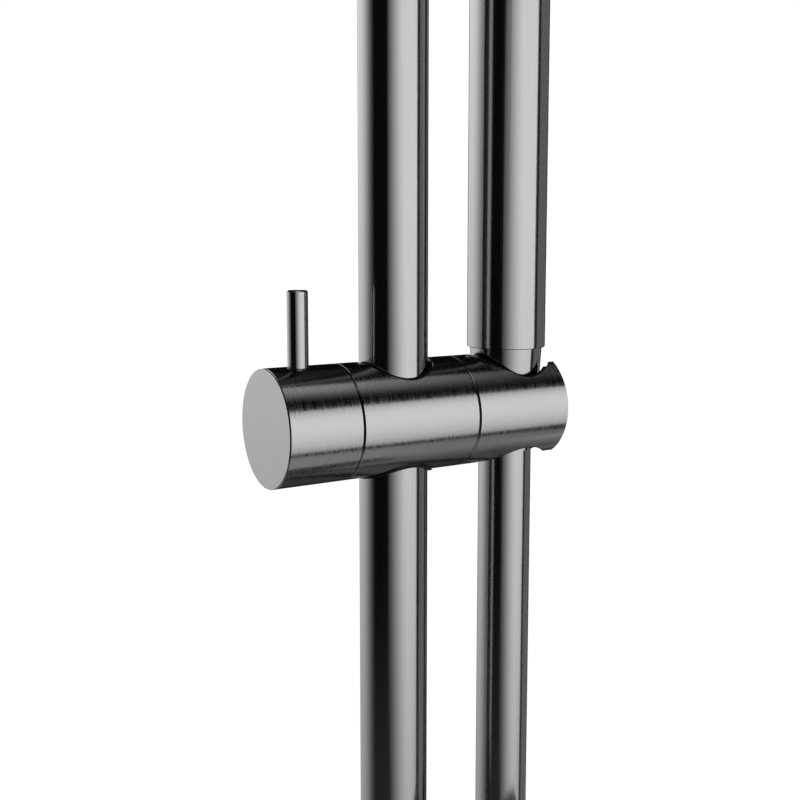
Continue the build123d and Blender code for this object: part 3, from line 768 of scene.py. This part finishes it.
def on_turned_edge(tree, given, steep):
    """1 on the model's own rounded edges that run round the axis."""
    from_middle = add_vector(tree, "SUBTRACT", given.outputs["Place"], given.outputs["Middle"])
    around = add_vector(tree, "CROSS_PRODUCT", given.outputs["Axis"], from_middle)
    around = to_world(tree, add_vector(tree, "NORMALIZE", around))
    aside = add_math(tree, "ABSOLUTE", add_dot(tree, around, given.outputs["Normal"]))
    return times(tree, add_math(tree, "GREATER_THAN", steep, EDGE_STEEP),
                 add_math(tree, "LESS_THAN", steep, FACE_STEEP),
                 add_math(tree, "LESS_THAN", aside, EDGE_ASIDE))


def on_wide_break(tree, given, along, steep):
    """1 on a narrow ring past each of three ends, but not on their flat faces."""
    rings = []
    for end in add_node(tree, "ShaderNodeSeparateXYZ", {0: given.outputs["Ends"]}).outputs:
        beyond = add_math(tree, "SUBTRACT", along, end)
        rings.append(times(tree, add_math(tree, "GREATER_THAN", beyond, -END_SLACK),
                           add_math(tree, "LESS_THAN", beyond, given.outputs["Width"])))
    ring = add_math(tree, "MAXIMUM", add_math(tree, "MAXIMUM", rings[0], rings[1]), rings[2])
    return times(tree, ring, add_math(tree, "LESS_THAN", steep, FACE_STEEP))


print("an edge is", EDGE_STEEP, "to", FACE_STEEP, "steep")

# %% Turned bands
BAND_LOW, BAND_HIGH = 0.25, 0.75


def tilted_bands(tree, given, axis, along):
    """Normal tilted round the axis by an amount that changes only along it."""
    noise = add_node(tree, "ShaderNodeTexNoise", {
        "W": times(tree, along, given.outputs["Density"]), "Scale": 1.0, "Detail": 2.0,
        "Roughness": 0.7}, noise_dimensions="1D")
    lean = add_range(tree, noise.outputs["Fac"], BAND_LOW, BAND_HIGH, -1.0, 1.0, "LINEAR")
    lean = times(tree, lean, given.outputs["Tilt"])
    round_it = add_vector(tree, "CROSS_PRODUCT", axis, given.outputs["Normal"])
    return add_vector(tree, "ADD", given.outputs["Normal"], add_scaled(tree, round_it, lean))


def build_bands():
    tree, given, result = new_group(
        "turned_bands", "ShaderNodeTree",
        {"Place": "Vector", "Axis": "Vector", "Middle": "Vector", "Normal": "Vector", "Density": "Float",
         "Tilt": "Float", "Ends": "Vector", "Width": "Float", "Steepness": "Float"},
        {"Normal": "Vector"})
    normal = given.outputs["Normal"]
    axis = to_world(tree, given.outputs["Axis"])
    along = add_dot(tree, given.outputs["Place"], given.outputs["Axis"])
    tilted = tilted_bands(tree, given, axis, along)

    share = add_dot(tree, axis, normal)
    steep = add_math(tree, "ABSOLUTE", share)
    wide = on_wide_break(tree, given, along, steep)
    on_edge = add_math(tree, "MAXIMUM", on_turned_edge(tree, given, steep), wide)
    # A flat leans the way that its edge does. On the side beyond a wide break's edge, where the share
    # is 0, it leans to the knob's side too, and further.
    pointing = add_math(tree, "SIGN", add_math(tree, "SUBTRACT", share, times(tree, wide, 0.5)))
    on_side = add_math(tree, "LESS_THAN", steep, EDGE_STEEP)
    further = add_math(tree, "ADD", 1.0, times(tree, wide, on_side, given.outputs["Steepness"]))
    side_part = add_vector(tree, "SUBTRACT", normal, add_scaled(tree, axis, share))
    outward = add_vector(tree, "NORMALIZE", side_part)
    flat = add_vector(tree, "ADD", outward, add_scaled(tree, axis, times(tree, pointing, further)))
    mix = add_node(tree, "ShaderNodeMix", {"Factor": on_edge, 4: tilted, 5: flat}, data_type="VECTOR")
    feed(tree, result.inputs["Normal"], add_vector(tree, "NORMALIZE", mix.outputs[1]))
    return tree


bands = build_bands()
print("turned bands inputs", [s.name for s in bands.interface.items_tree if s.in_out == "INPUT"])

# %% [markdown]
# Each material keeps its own Principled shader and gets its surface from a group: a colour, a roughness
# and a height that a Bump node turns into a normal. The metals are one dark grey with a lighter tint at
# grazing angles, as coated steel has, and differ in which way their lines run. The slider's normal
# passes through the turned bands on its way to the shader.

# %% Material helpers
finishes = {}


def new_material(name, color, metallic, roughness):
    """Material with a Principled shader, kept in finishes under its name."""
    material = bpy.data.materials.new(name)
    material.use_nodes = True
    material.diffuse_color = color
    shader = material.node_tree.nodes["Principled BSDF"]
    shader.inputs["Base Color"].default_value = color
    shader.inputs["Metallic"].default_value = metallic
    shader.inputs["Roughness"].default_value = roughness
    finishes[name] = material
    return material.node_tree, shader


def place_group(tree, group, values):
    """Puts a group in a material, fed by the piece's own coordinates and these values."""
    place = add_node(tree, "ShaderNodeTexCoord", {})
    used = add_node(tree, "ShaderNodeGroup", {}, node_tree=group)
    for name, value in {"Place": place.outputs["Object"], **values}.items():
        feed(tree, used.inputs[name], value)
    return used


def coat(tree, shader, used, depth):
    """Feeds a shader from a group, whose height becomes a bump of this depth in millimetres."""
    feed(tree, shader.inputs["Base Color"], used.outputs["Color"])
    feed(tree, shader.inputs["Roughness"], used.outputs["Roughness"])
    bump = add_node(tree, "ShaderNodeBump", {
        "Strength": 1.0, "Distance": depth * MM, "Height": used.outputs["Height"]})
    feed(tree, shader.inputs["Normal"], bump.outputs[0])
    return bump


print("material helpers ready")

# %% Brushed metals
METAL = (0.30, 0.30, 0.298, 1)
EDGE_TINT = (0.7, 0.7, 0.7, 1)
ALONG_Y = (2500, 30, 2500)
ALONG_Z = (2500, 2500, 30)
ROUND_X = (2300, 20, 20)
ROUND_Z = (60, 60, 3500)


def brushed_metal(name, stretch, roughness, spread, color=METAL, tint=0.04, depth=0.001):
    """stretch is the number of lines in a metre along each axis, and depth their height in millimetres."""
    tree, shader = new_material(name, color, 1.0, roughness)
    shader.inputs["Specular Tint"].default_value = EDGE_TINT
    used = place_group(tree, brushing, {
        "Stretch": stretch, "Roughness": roughness, "Spread": spread, "Color": color, "Tint": tint})
    return tree, shader, coat(tree, shader, used, depth)


brushed_metal("rail_metal", ALONG_Z, roughness=0.13, spread=0.02)
brushed_metal("bracket_metal", ALONG_Y, roughness=0.14, spread=0.02)
brushed_metal("lever_metal", ROUND_Z, roughness=0.13, spread=0.02)
brushed_metal("handset_metal", ALONG_Z, roughness=0.13, spread=0.02)
brushed_metal("nut_metal", ROUND_Z, roughness=0.13, spread=0.03)
brushed_metal("end_nut_metal", ROUND_Z, roughness=0.2, spread=0.03)
brushed_metal("hose_skin", (900, 900, 30), roughness=0.15, spread=0.02)
brushed_metal("screw_steel", (900, 900, 900), 0.25, 0.05, color=(0.6, 0.6, 0.6, 1), depth=0.006)
brushed_metal("brass", (900, 60, 900), 0.25, 0.05, color=(0.78, 0.6, 0.32, 1), depth=0.006)
brushed_metal("cast_block", (500, 500, 500), 0.42, 0.08, color=(0.62, 0.62, 0.63, 1), depth=0.02)
print("brushed metals", sorted(finishes))

# %% Metal of the slider
BAND_DENSITY = 1500.0
BAND_TILT = 0.014
KNOB_END = -40.3 * MM
BODY_END = -18.3 * MM
HOLDER_END = 19.5 * MM
NARROWER_AT_BODY = 0.1 * MM
BREAK_WIDTH = 0.42 * MM
BREAK_STEEPNESS = 1.2


def turned_metal(name, *look, **details):
    """Brushed metal whose normal also passes through the turned bands."""
    tree, shader, bump = brushed_metal(name, *look, **details)
    turned = place_group(tree, bands, {
        "Axis": (1, 0, 0), "Middle": (0, RAIL_Y, SLIDER_Z), "Normal": bump.outputs[0],
        "Density": BAND_DENSITY, "Tilt": BAND_TILT, "Width": BREAK_WIDTH, "Steepness": BREAK_STEEPNESS,
        "Ends": (KNOB_END, BODY_END - NARROWER_AT_BODY, HOLDER_END)})
    feed(tree, shader.inputs["Normal"], turned.outputs["Normal"])


turned_metal("slider_metal", ROUND_X, roughness=0.165, spread=0.075, tint=0.012, depth=0.0007)
print("bands of about", round(1 / BAND_DENSITY / MM, 2), "mm on the slider")

# %% [markdown]
# Moulded plastic and rubber have no brushing: their tool leaves a fine, even grain, and handling makes
# the gloss a little cloudy. A second group gives both, and each plastic sets its own colour and grain.

# %% Moulded grain group
CLOUD_SCALE = 120.0
HAZE = 0.05


def build_grain():
    tree, given, result = new_group(
        "moulded_grain", "ShaderNodeTree",
        {"Place": "Vector", "Grain": "Float", "Roughness": "Float", "Color": "Color"},
        {"Color": "Color", "Roughness": "Float", "Height": "Float"})
    place = given.outputs["Place"]
    fine = add_node(tree, "ShaderNodeTexNoise", {
        "Vector": place, "Scale": given.outputs["Grain"], "Detail": 2.0})
    cloud = add_node(tree, "ShaderNodeTexNoise", {"Vector": place, "Scale": CLOUD_SCALE, "Detail": 3.0})
    haze = noise_swing(tree, cloud, -HAZE, HAZE)
    shade = noise_swing(tree, cloud, 1 - HAZE, 1 + HAZE)
    feed(tree, result.inputs["Color"], add_scaled(tree, given.outputs["Color"], shade))
    feed(tree, result.inputs["Roughness"], add_math(tree, "ADD", given.outputs["Roughness"], haze))
    feed(tree, result.inputs["Height"], fine.outputs["Fac"])
    return tree


grain = build_grain()
print("moulded grain inputs", [s.name for s in grain.interface.items_tree if s.in_out == "INPUT"])

# %% Moulded plastics and rubbers


def moulded(name, color, roughness, size=3000.0, depth=0.01, shine=0.3):
    """size is the number of grains in a metre, and depth their height in millimetres."""
    tree, shader = new_material(name, color, 0.0, roughness)
    shader.inputs["Specular IOR Level"].default_value = shine
    coat(tree, shader, place_group(tree, grain, {"Grain": size, "Roughness": roughness, "Color": color}),
         depth)


moulded("dark_bush", (0.004, 0.004, 0.004, 1), roughness=0.22, shine=0.12)
moulded("pale_acetal", (0.75, 0.74, 0.7, 1), roughness=0.4)
moulded("seal_rubber", (0.02, 0.02, 0.02, 1), roughness=0.6)
moulded("spray_plate", (0.06, 0.06, 0.062, 1), roughness=0.28)
moulded("nozzle_silicone", (0.012, 0.012, 0.0125, 1), roughness=0.5)
moulded("inner_plastic", (0.8, 0.8, 0.78, 1), roughness=0.45)
moulded("strap", (0.03, 0.03, 0.03, 1), roughness=0.75, size=1200.0, depth=0.1)
print("all finishes", len(finishes))

# %% [markdown]
# The spray face is a silicone mat whose nozzles stand through the holes of the spray plate. Each nozzle
# is a small cone with a rounded lip and a water hole. Geometry Nodes puts it at every place of a
# staggered field, turned outwards; its inputs are the counts, the pitch and the angle between columns.

# %% One nozzle
NOZZLE_FROM = 9.8 * MM
NOZZLE_TO = 12.5 * MM
NOZZLE_SIDES = 20


def nozzle_mesh():
    """Profile of radius and height in millimetres, turned about Z."""
    tip = (NOZZLE_TO - NOZZLE_FROM) / MM
    profile = [(0.85, 0), (0.62, tip - 0.12), (0.58, tip - 0.03), (0.5, tip), (0.38, tip - 0.02),
               (0.32, tip - 0.1), (0.3, tip - 0.6), (0.3, 0)]
    work = bmesh.new()
    rings = [add_ring(work, NOZZLE_SIDES, lambda angle: polar(radius * MM, angle, height * MM))
             for radius, height in profile]
    join_closed(work, rings)
    return store_mesh(work, "nozzle")


nozzle_shape = nozzle_mesh()
print("faces of a nozzle", len(nozzle_shape.polygons))

# %% Sheet of the spray mat
FACE_Z = SLIDER_Z + 162 * MM
SHEET_OUT = 10.35 * MM
SHEET_IN = SHEET_OUT - 1.1 * MM
SHEET_HALF_WIDTH = 7.5 * MM
SHEET_HALF_HEIGHT = 37 * MM
SHEET_COLUMNS = 12
SHEET_HALF_ROWS = 4
SHEET_END_STEP = 9
WIDEST_SINE = 0.98


def sheet_heights(straight):
    """Heights of the rows: close together over the half-round ends, and evenly spread between them."""
    low = [-straight - SHEET_HALF_WIDTH * math.cos(math.radians(a))
           for a in range(SHEET_END_STEP, 90 + SHEET_END_STEP, SHEET_END_STEP)]
    middle = [straight * k / SHEET_HALF_ROWS for k in range(1 - SHEET_HALF_ROWS, SHEET_HALF_ROWS)]
    return low + middle + [-height for height in reversed(low)]


def sheet_mesh():
    """Curved sheet behind the plate, with half-round ends, closed all round."""
    work = bmesh.new()
    straight = SHEET_HALF_HEIGHT - SHEET_HALF_WIDTH
    layers = []
    for radius in (SHEET_OUT, SHEET_IN):
        rows = []
        for height in sheet_heights(straight):
            over = max(abs(height) - straight, 0)
            half = math.sqrt(max(SHEET_HALF_WIDTH**2 - over**2, 0))
            spread = math.asin(min(half / radius, WIDEST_SINE))
            rows.append([work.verts.new(polar(
                radius, spread * (2 * k / SHEET_COLUMNS - 1) - math.pi / 2, height,
                (SEAT_X, RAIL_Y, FACE_Z))) for k in range(SHEET_COLUMNS + 1)])
        for low, high in zip(rows, rows[1:]):
            join_rows(work, low, high)
        layers.append(rows)
    outer, inner = layers
    for end in (0, -1):
        join_rows(work, outer[end], inner[end], smooth=False)
        join_rows(work, [row[end] for row in outer], [row[end] for row in inner], smooth=False)
    return store_mesh(work, "mat_sheet")


sheet_shape = sheet_mesh()
print("faces of the sheet", len(sheet_shape.polygons))

# %% Places on the spray face
NOZZLE_COLUMNS = 3
NOZZLE_ROWS = 10
NOZZLE_PITCH = 6.2 * MM
COLUMN_TURN = math.radians(19)
STAGGER = 0.5
ROW_SLACK = 0.1


def middle_of(tree, count):
    return times(tree, add_math(tree, "SUBTRACT", count, 1), 0.5)


def staggered_grid(tree, given):
    """Place and turn of each point, and a mark on those that stand past the last row."""
    rows = given.outputs["Rows"]
    index = add_node(tree, "GeometryNodeInputIndex", {}).outputs[0]
    row = add_math(tree, "SUBTRACT", add_math(tree, "MODULO", index, rows), middle_of(tree, rows))
    column = add_math(tree, "FLOOR", add_math(tree, "DIVIDE", index, rows))
    column = add_math(tree, "SUBTRACT", column, middle_of(tree, given.outputs["Columns"]))
    odd = add_math(tree, "MODULO", add_math(tree, "ABSOLUTE", column), 2)
    level = add_math(tree, "ADD", row, times(tree, odd, STAGGER))
    turn = times(tree, column, given.outputs["Angle"])
    x = times(tree, add_math(tree, "SINE", turn), given.outputs["Radius"])
    y = times(tree, add_math(tree, "COSINE", turn), given.outputs["Radius"], -1)
    place = join_xyz(tree, x, y, times(tree, level, given.outputs["Pitch"]))
    place = add_vector(tree, "ADD", place, given.outputs["Place"])
    last = add_math(tree, "ADD", middle_of(tree, rows), ROW_SLACK)
    return place, turn, add_math(tree, "GREATER_THAN", level, last)


print("field of nozzles", round(NOZZLE_PITCH * (NOZZLE_ROWS - 1), 4), "high")

# %% Field of nozzles
NOZZLE_SEED = 4
SMALLEST, LARGEST = 0.98, 1.02


def nozzle_field():
    """Columns round an upright axis and rows along it; every second column sits half a pitch higher."""
    tree, given, result = new_group(
        "nozzle_field", "GeometryNodeTree",
        {"Geometry": "Geometry", "Nozzle": "Object", "Columns": "Int", "Rows": "Int", "Pitch": "Float",
         "Angle": "Float", "Radius": "Float", "Place": "Vector", "Seed": "Int", "Material": "Material"},
        {"Geometry": "Geometry"})
    place, turn, spare = staggered_grid(tree, given)
    count = times(tree, given.outputs["Columns"], given.outputs["Rows"])
    points = add_node(tree, "GeometryNodePoints", {"Count": count, "Position": place})
    turns = join_xyz(tree, math.pi / 2, 0.0, turn)
    held = add_node(tree, "GeometryNodeStoreNamedAttribute", {
        "Geometry": points.outputs[0], "Name": "turn", "Value": turns}, data_type="FLOAT_VECTOR")
    kept = add_node(tree, "GeometryNodeDeleteGeometry", {"Geometry": held.outputs[0], "Selection": spare})
    named = add_node(tree, "GeometryNodeInputNamedAttribute", {"Name": "turn"}, data_type="FLOAT_VECTOR")
    rotation = add_node(tree, "FunctionNodeEulerToRotation", {0: named.outputs["Attribute"]})
    size = add_node(tree, "FunctionNodeRandomValue", {
        2: SMALLEST, 3: LARGEST, "Seed": given.outputs["Seed"]}, data_type="FLOAT")
    source = add_node(tree, "GeometryNodeObjectInfo", {"Object": given.outputs["Nozzle"]})
    placed = add_node(tree, "GeometryNodeInstanceOnPoints", {
        "Points": kept.outputs[0], "Instance": source.outputs["Geometry"],
        "Rotation": rotation.outputs[0], "Scale": size.outputs[1]})
    joined = add_node(tree, "GeometryNodeJoinGeometry", {0: placed.outputs[0]})
    feed(tree, joined.inputs[0], given.outputs["Geometry"])
    real = add_node(tree, "GeometryNodeRealizeInstances", {0: joined.outputs[0]})
    dressed = add_node(tree, "GeometryNodeSetMaterial", {
        "Geometry": real.outputs[0], "Material": given.outputs["Material"]})
    feed(tree, result.inputs[0], dressed.outputs[0])
    return tree


field = nozzle_field()
print("nodes in the field", len(field.nodes))

# %% Spray mat


def build_spray_mat():
    silicone = finishes["nozzle_silicone"]
    # Meshes without a material would leave an empty slot in the result.
    for shape in (nozzle_shape, sheet_shape):
        shape.materials.append(silicone)
    nozzle = add_object("nozzle", nozzle_shape)
    mat = add_object("spray_mat", sheet_shape)
    values = {"Nozzle": nozzle, "Columns": NOZZLE_COLUMNS, "Rows": NOZZLE_ROWS, "Pitch": NOZZLE_PITCH,
              "Angle": COLUMN_TURN, "Radius": NOZZLE_FROM, "Place": (SEAT_X, RAIL_Y, FACE_Z),
              "Seed": NOZZLE_SEED, "Material": silicone}
    modifier = mat.modifiers.new("nozzles", "NODES")
    modifier.node_group = field
    for socket in field.interface.items_tree:
        if socket.name in values:
            modifier[socket.identifier] = values[socket.name]
    mat.update_tag()
    whole = evaluated_mesh(mat)
    mat.modifiers.remove(modifier)
    mat.data = whole
    bpy.data.objects.remove(nozzle)
    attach(mat, "holder")
    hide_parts("nozzle_mat")
    return mat


spray_mat = build_spray_mat()
nozzle_faces = len(spray_mat.data.polygons) - len(sheet_shape.polygons)
print("nozzles on the mat", nozzle_faces / len(nozzle_shape.polygons), "dressed in",
      [material.name for material in spray_mat.data.materials])

# %% [markdown]
# The record of the model names a material slot for every piece, so one loop dresses them all. The hose
# and its threaded nut are meshes of this lesson and take their finishes by name.

# %% Dress the pieces
slot_of = {entry["node"]: entry["material_slot"] for entry in frame["record"]["subparts"]}
for node_name, node in nodes.items():
    for slot in node.material_slots:
        slot.material = finishes[slot_of[node_name]]
hose.data.materials.append(finishes["hose_skin"])
threaded_nut.data.materials.append(finishes["end_nut_metal"])
print("dressed", len(nodes), "pieces, the hose and its nut")
